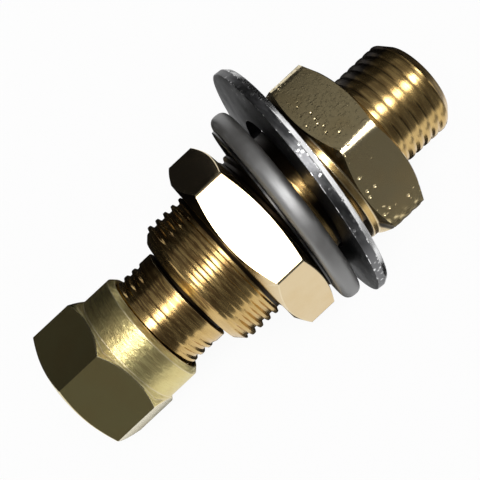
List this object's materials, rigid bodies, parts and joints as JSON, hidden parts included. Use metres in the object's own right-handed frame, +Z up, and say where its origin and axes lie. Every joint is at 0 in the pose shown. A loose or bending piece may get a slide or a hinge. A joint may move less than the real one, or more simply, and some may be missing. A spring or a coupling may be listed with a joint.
{
  "type": "tank connector",
  "caption": "Brass tank connector: turned body with hexagon and threaded shank, steel washer, rubber ring and lock nut to clamp a tank wall, and a compression nut with olive for a pipe.",
  "frame": {"origin": "on the axis, at the round face under the hexagon that seats against the washer and the tank wall", "axes": "+X along the bore towards the male thread, +Z up, -X towards the compression nut"},
  "size_m": [0.0666, 0.0389, 0.039],
  "materials": {
    "body_brass": "turned, satin, knocked on the hexagon",
    "washer_steel": "dark, worn, scuffed bright at the rim",
    "seal_rubber": "smooth moulded rubber with a soft shine",
    "slip_steel": "dark oiled steel",
    "lock_brass": "bright drawn flats",
    "cap_brass": "bright flats and a finely turned skirt",
    "olive_brass": "bright turned"
  },
  "bodies": {
    "fitting": {"connector_body": "body_brass", "steel_washer": "washer_steel"},
    "clamp_rings": {"seal_ring": "seal_rubber", "slip_washer": "slip_steel"},
    "lock_nut": {"lock_nut": "lock_brass"},
    "olive": {"olive": "olive_brass"},
    "compression_nut": {"compression_nut": "cap_brass"}
  },
  "joints": [
    {"name": "clamp_travel", "type": "slide", "parent": "fitting", "child": "clamp_rings", "axis": [1, 0, 0], "range_m": [-0.0121, 0.0008]},
    {"name": "lock_nut_turn", "type": "hinge", "parent": "clamp_rings", "child": "lock_nut", "pos_m": [-0.013, 0, 0], "axis": [1, 0, 0], "range_deg": [-2880, 180]},
    {"name": "olive_travel", "type": "slide", "parent": "fitting", "child": "olive", "axis": [1, 0, 0], "range_m": [-0.0046, 0.0004]},
    {"name": "compression_nut_turn", "type": "hinge", "parent": "olive", "child": "compression_nut", "pos_m": [-0.0395, 0, 0], "axis": [1, 0, 0], "range_deg": [-1080, 90]}
  ],
  "couplings": [
    {"joint": "clamp_travel", "follows": "lock_nut_turn", "m_per_rad": 0.00023873},
    {"joint": "olive_travel", "follows": "compression_nut_turn", "m_per_rad": 0.00023873}
  ]
}
